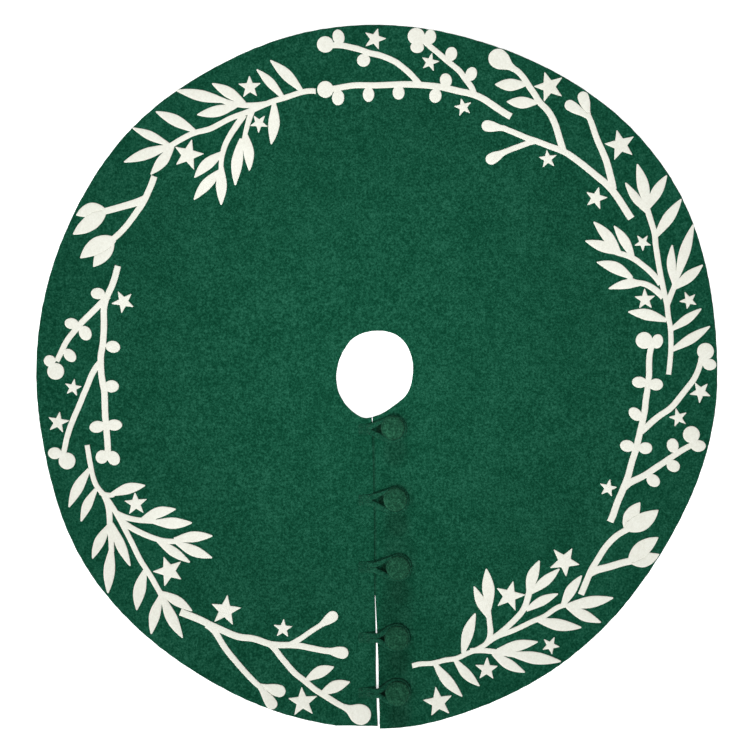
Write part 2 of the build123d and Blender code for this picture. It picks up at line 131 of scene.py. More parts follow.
def make_studio():
    """A soft sun from the front left, a wide light from above and a pool of light on the middle."""
    key = bpy.data.lights.new("key_light", "SUN")
    key.energy = 2.22
    key.angle = math.radians(9)
    aim(bpy.data.objects.new("key_light", key), (-1.6, -3.0, 4.2))
    top = bpy.data.lights.new("top_light", "AREA")
    top.shape = "SQUARE"
    top.size = 3.5
    top.energy = 34.0
    aim(bpy.data.objects.new("top_light", top), (-0.8, 1.4, 5.2))
    pool = bpy.data.lights.new("pool_light", "SPOT")
    pool.energy = 500.0
    pool.spot_size = 0.35
    pool.spot_blend = 1.0
    pool.shadow_soft_size = 0.5
    aim(bpy.data.objects.new("pool_light", pool), (-0.3, -0.6, 5.0), (-0.02, 0.08, 0.0))
    bpy.context.scene.world = make_room()
    bpy.context.scene.view_settings.view_transform = "Standard"
    bpy.context.scene.view_settings.look = "None"


make_camera()
make_studio()


# ---- materials ----
def new_material(name):
    """A material with its node tree and its Principled shader."""
    material = bpy.data.materials.new(name)
    material.use_nodes = True
    tree = material.node_tree
    shader = tree.nodes["Principled BSDF"]
    return material, tree, shader


def add(tree, kind, **settings):
    """A node with its settings and unlinked inputs filled in."""
    node = tree.nodes.new(kind)
    for key, value in settings.items():
        if hasattr(node, key):
            setattr(node, key, value)
        else:
            node.inputs[key.replace("_", " ")].default_value = value
    return node


def math_node(tree, operation, first, second):
    """What a sum of two values or outputs gives."""
    node = add(tree, "ShaderNodeMath", operation=operation)
    for socket, value in zip(node.inputs, (first, second)):
        if isinstance(value, (int, float)):
            socket.default_value = value
        else:
            tree.links.new(value, socket)
    return node.outputs[0]


def times(tree, first, second):
    return math_node(tree, "MULTIPLY", first, second)


def plus(tree, first, second):
    return math_node(tree, "ADD", first, second)


def centred(tree, value, middle, gain):
    """The value's distance from its middle, scaled."""
    return times(tree, math_node(tree, "SUBTRACT", value, middle), gain)


def fibres(tree, place, turn, size):
    """Long thin streaks in one direction, bent by the waves already in place."""
    mapping = add(tree, "ShaderNodeMapping", vector_type="POINT")
    mapping.inputs["Rotation"].default_value = (0.3, 0.2, math.radians(turn))
    mapping.inputs["Scale"].default_value = (1 / size, 0.09 / size, 0.35 / size)
    tree.links.new(place, mapping.inputs["Vector"])
    streaks = add(tree, "ShaderNodeTexNoise", noise_dimensions="3D", Scale=1.0, Detail=2.0,
                  Roughness=0.55)
    tree.links.new(mapping.outputs["Vector"], streaks.inputs["Vector"])
    return streaks.outputs["Fac"]


def ramp_node(tree, value, low, high):
    """0 below low and 1 above high, with a soft step between; low may be above high."""
    node = add(tree, "ShaderNodeMapRange", interpolation_type="SMOOTHSTEP")
    node.inputs["From Min"].default_value = low
    node.inputs["From Max"].default_value = high
    tree.links.new(value, node.inputs["Value"])
    return node.outputs["Result"]


def painted_shade(tree, place):
    """How much painted shade darkens the felt along the slit and round the buttons, from 0 to 1."""
    bend = add(tree, "ShaderNodeTexNoise", Scale=16.0, Detail=1.0)
    tree.links.new(place, bend.inputs["Vector"])
    axes = add(tree, "ShaderNodeSeparateXYZ")
    tree.links.new(place, axes.inputs[0])
    x = plus(tree, axes.outputs["X"], centred(tree, bend.outputs["Fac"], 0.5, BAND_WANDER))
    y = axes.outputs["Y"]
    across = times(tree, ramp_node(tree, x, *BAND_LEFT), ramp_node(tree, x, *BAND_RIGHT))
    total = times(tree, times(tree, ramp_node(tree, y, *BAND_STARTS), across), BAND_SHADE)

    line = add(tree, "ShaderNodeMapRange")
    for socket, value in zip(("From Min", "From Max", "To Min", "To Max"), SLIT_LINE):
        line.inputs[socket].default_value = value
    tree.links.new(y, line.inputs["Value"])
    off = math_node(tree, "SUBTRACT", axes.outputs["X"], line.outputs["Result"])
    groove = times(tree, ramp_node(tree, off, *LINE_LEFT), ramp_node(tree, off, *LINE_RIGHT))
    ends = times(tree, ramp_node(tree, y, *LINE_TOP), ramp_node(tree, y, *LINE_FOOT))
    total = math_node(tree, "MAXIMUM", total, times(tree, times(tree, groove, ends), SLIT_SHADE))

    for bx, by in BUTTONS.values():
        for (dx, dy), (wide, long), amount in SHADE_SPOTS:
            middle = add(tree, "ShaderNodeMapping", vector_type="TEXTURE")
            middle.inputs["Location"].default_value = ((bx + dx) * MM, (by + dy) * MM, 0.0)
            middle.inputs["Scale"].default_value = (wide * MM, long * MM, 1.0)
            tree.links.new(place, middle.inputs["Vector"])
            away = add(tree, "ShaderNodeVectorMath", operation="LENGTH")
            tree.links.new(middle.outputs["Vector"], away.inputs[0])
            spot = times(tree, ramp_node(tree, away.outputs["Value"], 1.0, 0.3), amount)
            total = math_node(tree, "MAXIMUM", total, plus(tree, spot, times(tree, total, 0.5)))
    return total


def felt_material(name, deep, middle, light, fibre_mm=0.5, mottle_mm=4.5, bump=0.5, sheen=0.04,
                  contrast=2.5, painted_shade_on=False):
    """Wool felt: matted fibres in three directions, a heathered mottle and soft broad patches.

    deep, middle and light are its colours, and the last argument adds painted shade beside the slit and round the
    buttons."""
    material, tree, shader = new_material(name)
    links = tree.links
    place = add(tree, "ShaderNodeTexCoord").outputs["Object"]

    waves = add(tree, "ShaderNodeTexNoise", Scale=260.0, Detail=2.0)
    links.new(place, waves.inputs["Vector"])
    shift = add(tree, "ShaderNodeVectorMath", operation="SCALE")
    shift.inputs["Scale"].default_value = 0.006
    links.new(waves.outputs["Color"], shift.inputs[0])
    bent = add(tree, "ShaderNodeVectorMath", operation="ADD")
    links.new(place, bent.inputs[0])
    links.new(shift.outputs[0], bent.inputs[1])
    bent = bent.outputs[0]

    matted = None
    for turn in (12, 71, 133):
        streak = fibres(tree, bent, turn, fibre_mm * MM)
        matted = streak if matted is None else math_node(tree, "MAXIMUM", matted, streak)
    mottle = add(tree, "ShaderNodeTexNoise", Scale=1 / (mottle_mm * MM), Detail=3.0, Roughness=0.6)
    links.new(place, mottle.inputs["Vector"])
    clumps = add(tree, "ShaderNodeTexNoise", Scale=0.4 / (mottle_mm * MM), Detail=2.0, Roughness=0.5)
    links.new(place, clumps.inputs["Vector"])
    patches = add(tree, "ShaderNodeTexNoise", Scale=11.0, Detail=3.0, Roughness=0.5)
    links.new(place, patches.inputs["Vector"])

    tone = centred(tree, matted, 0.62, 2.6)
    spots = centred(tree, mottle.outputs["Fac"], 0.5, contrast)
    broad = centred(tree, patches.outputs["Fac"], 0.5, 0.5)
    lumps = centred(tree, clumps.outputs["Fac"], 0.5, 0.4 * contrast)
    tone = plus(tree, plus(tree, tone, spots), plus(tree, broad, lumps))
    tone = plus(tree, tone, 0.5)
    colours = add(tree, "ShaderNodeValToRGB")
    ramp = colours.color_ramp
    ramp.elements[0].position = 0.0
    ramp.elements[0].color = (*deep, 1.0)
    ramp.elements[1].position = 1.0
    ramp.elements[1].color = (*light, 1.0)
    ramp.elements.new(0.5).color = (*middle, 1.0)
    links.new(tone, colours.inputs["Fac"])
    colour = colours.outputs["Color"]
    # painted shade: the colour is multiplied darker beside the slit, round the buttons and under the loops' forks
    if painted_shade_on:
        darker = add(tree, "ShaderNodeMix", data_type="RGBA", blend_type="MULTIPLY")
        links.new(painted_shade(tree, place), darker.inputs[0])
        links.new(colour, darker.inputs[6])
        darker.inputs[7].default_value = SHADE_TINT
        colour = darker.outputs[2]
    links.new(colour, shader.inputs["Base Color"])

    rough = add(tree, "ShaderNodeMapRange")
    rough.inputs["To Min"].default_value = 0.86
    rough.inputs["To Max"].default_value = 0.99
    links.new(matted, rough.inputs["Value"])
    links.new(rough.outputs["Result"], shader.inputs["Roughness"])
    shader.inputs["Specular IOR Level"].default_value = 0.04
    shader.inputs["Sheen Weight"].default_value = sheen
    shader.inputs["Sheen Roughness"].default_value = 0.6
    shader.inputs["Sheen Tint"].default_value = (*(0.5 + 0.5 * c for c in light), 1.0)

    height = plus(tree, matted, times(tree, mottle.outputs["Fac"], 0.8))
    relief = add(tree, "ShaderNodeBump", Strength=bump, Distance=0.0012)
    links.new(height, relief.inputs["Height"])
    links.new(relief.outputs["Normal"], shader.inputs["Normal"])
    return material


def thread_material():
    """Dark green sewing thread, lit along its twist."""
    material, tree, shader = new_material("green_thread")
    place = add(tree, "ShaderNodeTexCoord").outputs["Object"]
    twist = add(tree, "ShaderNodeTexWave", Scale=900.0, Distortion=2.0, Detail=1.0)
    tree.links.new(place, twist.inputs["Vector"])
    colours = add(tree, "ShaderNodeValToRGB")
    colours.color_ramp.elements[0].color = (0.006, 0.040, 0.022, 1.0)
    colours.color_ramp.elements[1].color = (0.014, 0.085, 0.048, 1.0)
    tree.links.new(twist.outputs["Fac"], colours.inputs["Fac"])
    tree.links.new(colours.outputs["Color"], shader.inputs["Base Color"])
    relief = add(tree, "ShaderNodeBump", Strength=0.4, Distance=0.0003)
    tree.links.new(twist.outputs["Fac"], relief.inputs["Height"])
    tree.links.new(relief.outputs["Normal"], shader.inputs["Normal"])
    shader.inputs["Roughness"].default_value = 0.6
    shader.inputs["Sheen Weight"].default_value = 0.2
    return material


def wood_material():
    """Plain sanded wood with fine rings, for the blanks inside the buttons."""
    material, tree, shader = new_material("button_blank_wood")
    place = add(tree, "ShaderNodeTexCoord").outputs["Object"]
    mapping = add(tree, "ShaderNodeMapping")
    mapping.inputs["Scale"].default_value = (1.0, 0.12, 1.0)
    tree.links.new(place, mapping.inputs["Vector"])
    rings = add(tree, "ShaderNodeTexWave", Scale=160.0, Distortion=4.0, Detail=3.0)
    tree.links.new(mapping.outputs["Vector"], rings.inputs["Vector"])
    colours = add(tree, "ShaderNodeValToRGB")
    colours.color_ramp.elements[0].color = (0.42, 0.24, 0.10, 1.0)
    colours.color_ramp.elements[1].color = (0.58, 0.38, 0.19, 1.0)
    tree.links.new(rings.outputs["Fac"], colours.inputs["Fac"])
    tree.links.new(colours.outputs["Color"], shader.inputs["Base Color"])
    relief = add(tree, "ShaderNodeBump", Strength=0.2, Distance=0.0003)
    tree.links.new(rings.outputs["Fac"], relief.inputs["Height"])
    tree.links.new(relief.outputs["Normal"], shader.inputs["Normal"])
    shader.inputs["Roughness"].default_value = 0.55
    return material


def floor_material():
    """Matte white studio floor with a very faint mottle."""
    material, tree, shader = new_material("studio_floor")
    place = add(tree, "ShaderNodeTexCoord").outputs["Object"]
    grain = add(tree, "ShaderNodeTexNoise", Scale=3.0, Detail=2.0)
    tree.links.new(place, grain.inputs["Vector"])
    colours = add(tree, "ShaderNodeValToRGB")
    colours.color_ramp.elements[0].color = (0.955, 0.955, 0.955, 1.0)
    colours.color_ramp.elements[1].color = (0.985, 0.985, 0.985, 1.0)
    tree.links.new(grain.outputs["Fac"], colours.inputs["Fac"])
    tree.links.new(colours.outputs["Color"], shader.inputs["Base Color"])
    shader.inputs["Roughness"].default_value = 1.0
    shader.inputs["Specular IOR Level"].default_value = 0.0
    shader.inputs["Emission Color"].default_value = (1.0, 1.0, 1.0, 1.0)
    shader.inputs["Emission Strength"].default_value = 0.50
    return material


# painted shade on the green felt, darker beside the slit and round the buttons. Each pair is where a soft step
# starts and where it is full, in metres in the skirt's own frame
SHADE_TINT = (0.62, 0.34, 0.34, 1.0)      # what the colour is multiplied by where it is darkest
# painted shade of the felt's relief, a broad band on the button side of the slit
BAND_SHADE = 0.30                         # a broad band on the button side of the slit
BAND_LEFT, BAND_RIGHT = (-0.004, 0.022), (0.092, 0.052)
BAND_STARTS = (-0.15, -0.45)
BAND_WANDER = 0.05                          # how far its edges wander from side to side
# painted shade of the groove where the slit's edges meet
SLIT_SHADE = 0.5                          # a thin line along the closed slit
SLIT_LINE = (-0.100, -0.330, -0.0097, -0.0050)      # its y from and to, and its x there
LINE_LEFT, LINE_RIGHT = (-0.002, 0.0005), (0.0075, 0.001)
LINE_TOP, LINE_FOOT = (-0.095, -0.110), (-0.500, -0.470)
# painted shadow spots placed from each button's middle, in millimetres, with their half widths and how dark they
# are:
# the head's shadow below it, shade close round it, and the shadow under the fork of the loop
SHADE_SPOTS = [((4, -52), (40, 50), 0.34), ((1, 2), (48, 46), 0.46), ((-30, -1), (12, 15), 0.95)]

# the green felt carries the painted shade beside the slit and round the buttons
GREEN = felt_material("green_wool_felt", (0.0006, 0.0400, 0.0187), (0.0062, 0.0785, 0.0415),
                      (0.0200, 0.1240, 0.0740), painted_shade_on=True)
IVORY = felt_material("ivory_wool_felt", (0.780, 0.780, 0.685), (0.862, 0.868, 0.778),
                      (0.918, 0.928, 0.852), bump=0.35, contrast=1.3)
BUTTON_FELT = felt_material("button_wool_felt", (0.0040, 0.042, 0.021), (0.0125, 0.0830, 0.0440),
                            (0.030, 0.140, 0.078), fibre_mm=0.8, mottle_mm=4.0, bump=1.0)
LOOP_FELT = felt_material("loop_wool_felt", (0.0020, 0.040, 0.021), (0.0080, 0.0760, 0.0410),
                          (0.022, 0.122, 0.072), fibre_mm=0.6, mottle_mm=3.6, bump=0.8)
THREAD = thread_material()
WOOD = wood_material()


# ---- the lie of the felt ----
SLIT_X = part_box("skirt_flap")[1].x / MM - 4.0       # about where the slit runs
MEAN_LIFT = 0.9
SWELLS = [(1.5, 290, 1.7), (0.7, 110, 4.1), (0.22, 34, 7.3)]    # height, breadth and seed of each size
LEAST_LIFT = 0.3
RIPPLE_HIGH = 0.8       # of the ripple along the slit
RIPPLE_MIDDLE = 45      # how far right of the slit it is highest
RIPPLE_REACH = 60
RIPPLE_LONG = 23        # from one wave to the next is 2 pi times this
RIPPLE_TOP = -60        # there is none above this y, round the hole
CREASE_HIGH = 0.55      # of the creases round a button
CREASE_AT = 38          # how far from its middle they are highest
CREASE_REACH = 17
PULL_HIGH = 0.9         # how far the thread pulls the felt up below a button
PULL_REACH = 13
PULL_ENDS = 110


def lift(x, y):
    """How far the felt's underside stands off the floor."""
    height = MEAN_LIFT
    for high, breadth, seed in SWELLS:
        height += high * noise.noise((x / breadth, y / breadth, seed))
    pulled = 0.0
    for number, (bx, by) in BUTTONS.items():
        away = math.hypot(x - bx, y - by)
        if away > PULL_ENDS:
            continue
        turn = math.atan2(y - by, x - bx)
        creases = math.cos(5 * turn + number) + 0.6 * math.cos(8 * turn - 2 * number)
        pulled += CREASE_HIGH * creases * math.exp(-((away - CREASE_AT) / CREASE_REACH) ** 2)
        pulled += PULL_HIGH * math.exp(-(away / PULL_REACH) ** 2)
    near_slit = math.exp(-((x - SLIT_X - RIPPLE_MIDDLE) / RIPPLE_REACH) ** 2) if y < RIPPLE_TOP else 0.0
    ripple = RIPPLE_HIGH * near_slit * math.sin(y / RIPPLE_LONG + 2.0 * math.sin(x / 40))
    height = height + pulled + ripple
    return height if height > LEAST_LIFT else LEAST_LIFT * math.exp(height / LEAST_LIFT - 1)


def ground(x, y):
    """Height of the panel's upper face."""
    return FELT + lift(x, y)


# ---- flat pieces of felt ----
NEARLY = 1e-5           # metres within which a corner is at the top of its node
SHORTEST = 20           # a shorter loop is a stray bit of outline
CORNER = 32             # degrees past which a turn in an outline is a corner
SHOULDER = 0.34         # how far a cut edge is rounded down, against the felt's thickness


def outlines(*names):
    """Closed loops round the upper faces of some CAD nodes; a cut that two of them share drops out."""
    arrows = {}
    for name in names:
        mesh = nodes[name].data
        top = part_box(name)[1].z - NEARLY
        for face in mesh.polygons:
            corners = [mesh.vertices[i].co for i in face.vertices]
            if min(c.z for c in corners) < top:
                continue
            keys = [(round(c.x / MM, 2), round(c.y / MM, 2)) for c in corners]
            for a, b in zip(keys, keys[1:] + keys[:1]):
                if a == b:
                    continue
                if arrows.get((b, a), 0) > 0:
                    arrows[(b, a)] -= 1
                else:
                    arrows[(a, b)] = arrows.get((a, b), 0) + 1
    after = {}
    for (a, b), count in arrows.items():
        if count > 0:
            after.setdefault(a, []).append(b)
    loops = []
    while after:
        start = next(iter(after))
        loop = [start]
        here = start
        while True:
            there = after[here].pop()
            if not after[here]:
                del after[here]
            if there == start:
                break
            loop.append(there)
            here = there
        loops.append(np.array(loop))
    return [loop for loop in loops if len(loop) > 2 and length_round(loop) > SHORTEST]


def length_round(loop):
    return float(np.linalg.norm(np.roll(loop, -1, 0) - loop, axis=1).sum())


def resample(loop, step):
    """The same outline with even spacing, closer where it bends, and its sharp corners kept."""
    ahead = np.roll(loop, -1, 0) - loop
    angle = np.arctan2(ahead[:, 1], ahead[:, 0])
    turn = np.abs((angle - np.roll(angle, 1) + math.pi) % (2 * math.pi) - math.pi)
    corners = list(np.nonzero(turn > math.radians(CORNER))[0])
    if not corners:
        corners = [0]
    loop = np.roll(loop, -corners[0], 0)
    turn = np.roll(turn, -corners[0])
    corners = [c - corners[0] for c in corners] + [len(loop)]
    closed = np.vstack([loop, loop[:1]])
    bends = np.append(turn, turn[0])
    points = []
    for a, b in zip(corners, corners[1:]):
        part = closed[a:b + 1]
        spans = np.linalg.norm(np.diff(part, axis=0), axis=1)
        inner = bends[a:b + 1].copy()
        inner[0] = inner[-1] = 0
        measure = spans + (inner[:-1] + inner[1:])
        along = np.concatenate([[0], np.cumsum(measure)])
        count = max(1, round(along[-1] / step))
        at = np.linspace(0, along[-1], count + 1)[:-1]
        points.append(np.column_stack([np.interp(at, along, part[:, 0]),
                                       np.interp(at, along, part[:, 1])]))
    return np.vstack(points)


def normals_of(loop):
    """Unit vectors pointing out of the felt at each point of a loop that runs round it."""
    ahead = np.roll(loop, -1, 0) - loop
    behind = loop - np.roll(loop, 1, 0)
    out = np.zeros_like(loop)
    for edge in (ahead, behind):
        size = np.maximum(np.linalg.norm(edge, axis=1, keepdims=True), 1e-9)
        out += np.column_stack([edge[:, 1], -edge[:, 0]]) / size
    return out / np.maximum(np.linalg.norm(out, axis=1, keepdims=True), 0.5)


def hand_cut(loop, amount, wave):
    """A little wander in the outline, as scissors leave it."""
    out = normals_of(loop)
    wander = []
    for x, y in loop:
        long = noise.noise((x / wave, y / wave, 3.3))
        short = noise.noise((x / wave * 4, y / wave * 4, 8.8))
        wander.append(amount * long + 0.3 * amount * short)
    return loop + out * np.array(wander)[:, None]


def inside(points, loops):
    """Which points are in the felt, counting the edges to their right."""
    result = np.zeros(len(points), bool)
    for loop in loops:
        a = loop
        b = np.roll(loop, -1, 0)
        for start in range(0, len(points), 20000):
            chunk = slice(start, start + 20000)
            x = points[chunk, 0][:, None]
            y = points[chunk, 1][:, None]
            spans = (a[:, 1] > y) != (b[:, 1] > y)
            with np.errstate(divide="ignore", invalid="ignore"):
                cross = a[:, 0] + (y - a[:, 1]) * (b[:, 0] - a[:, 0]) / (b[:, 1] - a[:, 1])
            hits = (spans & (x < cross)).sum(1)
            result[chunk] ^= (hits % 2).astype(bool)
    return result


def walls_of(loops):
    """A search tree that gives the distance from any point to the nearest outline."""
    corners = []
    faces = []
    for loop in loops:
        first = len(corners)
        count = len(loop)
        for x, y in loop:
            corners.append((x, y, -1.0))
            corners.append((x, y, 1.0))
        for i in range(count):
            a = first + 2 * i
            b = first + 2 * ((i + 1) % count)
            faces.append((a, b, b + 1, a + 1))
    return BVHTree.FromPolygons(corners, faces)


def honeycomb(low, high, step):
    """Evenly spread points over a rectangle, slightly out of line."""
    rows = []
    for j, y in enumerate(np.arange(low[1], high[1], step * 0.866)):
        x = np.arange(low[0] + (j % 2) * step / 2, high[0], step)
        rows.append(np.column_stack([x, np.full(len(x), y)]))
    grid = np.vstack(rows)
    shake = np.column_stack([np.sin(grid[:, 0] * 1.7 + grid[:, 1] * 2.3),
                             np.sin(grid[:, 0] * 2.9 - grid[:, 1] * 1.3)])
    return grid + 0.12 * step * shake


def triangles(points, loops, edges, sliver):
    """Triangles over flat points that keep the outline's edges and stay in the felt.

    Points in a straight line along an outline also give triangles with next to no area: those whose
    area is below half of sliver, in square millimetres, are left out."""
    flat, _, faces, _, _, _ = delaunay_2d_cdt([Vector(p) for p in points], edges, [], 0, 1e-6)
    flat = np.array([tuple(v) for v in flat])
    faces = np.array([f for f in faces if len(f) == 3])
    corners = flat[faces]
    (ax, ay), (bx, by) = (corners[:, 1] - corners[:, 0]).T, (corners[:, 2] - corners[:, 0]).T
    real = np.abs(ax * by - ay * bx) > sliver
    return flat, faces[real & inside(corners.mean(axis=1), loops)]


def mesh_object(name, points, faces, material, smooth_angle=40):
    """A smooth piece from points in millimetres, with sharp edges past the angle, or none if it is 0."""
    mesh = bpy.data.meshes.new(name)
    mesh.from_pydata([tuple(float(c) * MM for c in p) for p in points], [], faces)
    mesh.materials.append(material)
    mesh.shade_smooth()
    piece = bpy.data.objects.new(name, mesh)
    bpy.context.scene.collection.objects.link(piece)
    if smooth_angle:
        mesh.set_sharp_from_angle(angle=math.radians(smooth_angle))
    return piece


def felt_piece(name, loops, thickness, base, material, fill, rings, round_off, puff=0.0,
               finer=None, cut=None, sliver=0.0):
    """A closed piece of cut felt that follows base(x, y), with softly rounded edges.

    rings are the distances from the edge of extra rows of points, fill the spacing of the rest,
    round_off how far in the edge's rounding reaches, and puff how much the middle stands up.
    finer is an area with a closer spacing, and sliver is what triangles() leaves out.
    cut is where the felt's real edges run, if a loop also follows a fold, which isn't rounded."""
    tree = walls_of(loops)
    cut_tree = walls_of(cut) if cut else tree
    count = [len(loop) for loop in loops]
    border = np.vstack(loops)
    starts = np.concatenate([[0], np.cumsum(count)])
    edges = []
    for first, n in zip(starts, count):
        edges += [(int(first + i), int(first + (i + 1) % n)) for i in range(n)]
    extra = [np.vstack([loop - normals_of(loop) * ring for loop in loops]) for ring in rings]
    wanted = [(points, 0.7 * ring) for points, ring in zip(extra, rings)]
    low, high = border.min(0), border.max(0)
    grid = honeycomb(low, high, fill)
    if finer:
        area, spacing = finer
        x, y = grid.T
        grid = grid[(x < area[0]) | (x > area[2]) | (y < area[1]) | (y > area[3])]
        wanted.append((honeycomb(area[:2], area[2:], spacing), rings[-1] + 0.4 * spacing))
    wanted.append((grid, rings[-1] + 0.4 * fill))
    points = [border]
    for candidates, least in wanted:
        candidates = candidates[inside(candidates, loops)]
        keep = []
        for x, y in candidates:
            near = tree.find_nearest((x, y, 0.0))
            keep.append(near[3] >= least)
        points.append(candidates[np.array(keep, bool)])
    points = np.vstack(points)
    flat, faces = triangles(points, loops, edges, sliver)
    depth = np.array([cut_tree.find_nearest((x, y, 0.0))[3] for x, y in flat])
    rounding = 1 - np.clip(depth / round_off, 0, 1)
    lip = SHOULDER * thickness * rounding ** 2.2
    crown = puff * (1 - np.exp(-depth / 3.0))
    under = np.array([base(x, y) for x, y in flat])
    top = np.column_stack([flat, under + thickness - lip + crown])
    bottom = np.column_stack([flat, under + 0.5 * lip])
    total = len(flat)
    shapes = [tuple(int(i) for i in f) for f in faces]
    shapes += [tuple(int(i) + total for i in f[::-1]) for f in faces]
    shapes += [(a, a + total, b + total, b) for a, b in edges]
    return mesh_object(name, np.vstack([top, bottom]), shapes, material)


FOLD_WIDTH = 38.0       # how far across the fold line the second fold point lies


def fold_points():
    """Where the fold line starts, and a point straight across the fold from it."""
    joint = next(j for j in frame["joints"] if j["name"] == "flap_fold")
    along = Vector(joint["axis"]).normalized()
    across = Vector((-along.y, along.x, 0.0))
    start = Vector((joint["pos_m"][0], joint["pos_m"][1], 0.0))
    return start, start + across * FOLD_WIDTH * MM


FOLD = fold_points()

SLIT_TOP = -89.0        # above this the outline belongs to the hole
SLIT_FOOT = -766.0      # and below this to the rim
SLIT_BESIDE = 12.0      # how far from the slit its edges are looked for
SLIT_TOUCH = -0.06      # edges that meet press into each other by this
# how wide the slit is open at each y, from the rim to the small notch at the hole
SLIT_OPEN = [(-766, 3.6), (-740, 5.2), (-712, 5.0), (-680, 5.0), (-650, 5.3), (-628, 5.3),
             (-600, 3.9), (-545, 2.7), (-525, 2.1), (-503, 1.5), (-484, 1.3), (-480, SLIT_TOUCH),
             (-101, SLIT_TOUCH), (-94, 2.3)]


def close_slit(cut, drawn):
    """The cut outline, with the slit's edges smooth and as far apart as they lie."""
    out = normals_of(drawn)
    x, y = drawn.T
    near = (np.abs(x - SLIT_X + 3) < SLIT_BESIDE) & (y < SLIT_TOP) & (y > SLIT_FOOT)
    left = near & (out[:, 0] > 0.5)
    right = near & (out[:, 0] < -0.5)
    heights = np.linspace(SLIT_FOOT, SLIT_TOP, 340)
    middle = np.zeros(len(heights))
    for side in (left, right):
        order = np.argsort(y[side])
        middle += 0.5 * np.interp(heights, y[side][order], x[side][order])
    spread = 17
    middle = np.pad(middle, spread // 2, mode="edge")
    middle = np.convolve(middle, np.ones(spread) / spread, mode="valid")
    gap = np.interp(y, *np.array(SLIT_OPEN).T)
    result = cut.copy()
    for side, turn in ((left, -1), (right, 1)):
        edge = np.interp(y, heights, middle) + turn * gap / 2
        result[side] = np.column_stack([edge, y])[side]
    return result


PANEL_STEP = 4.0        # spacing of the points along the green panel's outline
PANEL_RINGS = (0.5, 1.3, 3.0)
PANEL_SLIVER = 0.002


def split_at_fold(loop):
    """The main panel's outline and the flap's, which share the points along the fold line."""
    start, end = (np.array(point[:2]) / MM for point in FOLD)
    beyond = (loop - start) @ (end - start) > 0
    crossings = []
    for i in np.nonzero(beyond != np.roll(beyond, -1))[0]:
        a, b = loop[i], loop[(i + 1) % len(loop)]
        off_a, off_b = (a - start) @ (end - start), (b - start) @ (end - start)
        crossings.append((a + (b - a) * off_a / (off_a - off_b), int(i)))
    crossings.sort(key=lambda crossing: crossing[0][1])
    (at_rim, rim), (at_hole, hole) = crossings[:2]
    count = round(np.linalg.norm(at_hole - at_rim) / PANEL_STEP)
    along = np.linspace(at_rim, at_hole, count + 1)
    turned = np.roll(loop, -(rim + 1), 0)
    flap_points = (hole - rim) % len(loop)
    flap = np.vstack([turned[:flap_points], along[::-1]])
    main = np.vstack([turned[flap_points:], along])
    return main, flap


def make_panel(name, loop, whole, fill, node, **options):
    """One part of the green panel, whose loop runs along the cut edge of the whole and the fold."""
    panel = felt_piece(name, [loop], FELT, lift, GREEN, fill, PANEL_RINGS, 1.5, cut=[whole],
                       sliver=PANEL_SLIVER, **options)
    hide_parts(node)
    return panel


def make_skirt():
    """The green panel: the part that lies still, and the flap beyond the fold line."""
    drawn = resample(outlines("skirt_main", "skirt_flap")[0], PANEL_STEP)
    whole = close_slit(hand_cut(drawn, 0.7, 16.0), drawn)
    main_loop, flap_loop = split_at_fold(whole)
    beside_slit = (SLIT_X - 10, -790, SLIT_X + 130, -60)
    fine, coarse = 4.5, 9.0
    main = make_panel("skirt_panel", main_loop, whole, coarse, "skirt_main", finer=(beside_slit, fine))
    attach(main, "skirt")
    flap = make_panel("skirt_flap_panel", flap_loop, whole, fine, "skirt_flap")
    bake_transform(flap)
    return (main, main_loop), (flap, flap_loop)


def make_trim(name, names, blended=False, number=None):
    """One ivory piece, or one of several in a node."""
    loops = outlines(*names)
    if number is not None:
        loops = [loops[number]]
    loops = [hand_cut(resample(loop, 2.2), 0.3, 14.0) for loop in loops]
    piece = felt_piece(name, loops, TRIM, ground, IVORY, 4.0, (0.4, 1.2), 0.9, puff=0.35)
    if blended:
        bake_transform(piece)
    else:
        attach(piece, "skirt")
    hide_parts(*names)


def make_trims():
    """All the ivory pieces; the bottom sprig and the star beside it cross the fold."""
    bodies = frame["record"]["behaviour"]["bodies"]
    for node in sorted(bodies["skirt"]):
        if node.startswith(("sprig", "petal", "star_large")) and node != "sprig_flowers_bottom":
            make_trim(node + "_felt", [node])
        if node.startswith("stars_small"):
            for i in range(len(outlines(node))):
                make_trim(f"{node}_{i + 1}", [node], number=i)
    bottom = ["sprig_flowers_bottom", "sprig_flowers_bottom_flap"]
    make_trim("sprig_flowers_bottom_felt", bottom, blended=True)
    make_trim("star_large_7_felt", ["star_large_7"], blended=True)


# ---- buttons ----
# the head's outline from the middle of its underside round to the middle of its top: radius and height
HEAD_SIDE = [(0, 5.4), (9, 5.4), (17, 5.7), (21.6, 6.5), (24.6, 8.3), (26.2, 10.3), (26.5, 11.8),
             (25.4, 13.8), (22.2, 15.8), (16.5, 17.4), (9, 18.5), (0, 18.9)]

# how far each head leans across and along, and its size against that outline
HEAD_LEAN = {1: (-0.6, 0.4, 0.985), 2: (-0.6, 0.4, 0.98), 3: (-0.4, 0.2, 0.99),
             4: (-0.3, -0.2, 1.0), 5: (0.1, -0.5, 1.0)}
HEAD_ROUND = 120        # points round the head
HEAD_ROWS = 46
BROAD_LUMP, FINE_LUMP = 0.75, 0.50      # how much the felt's lumps change the radius
GATHER = 0.45           # depth of the folds where the cover is gathered underneath
WIDEST = (11.5, 26.0)   # about the height and radius where the head is widest


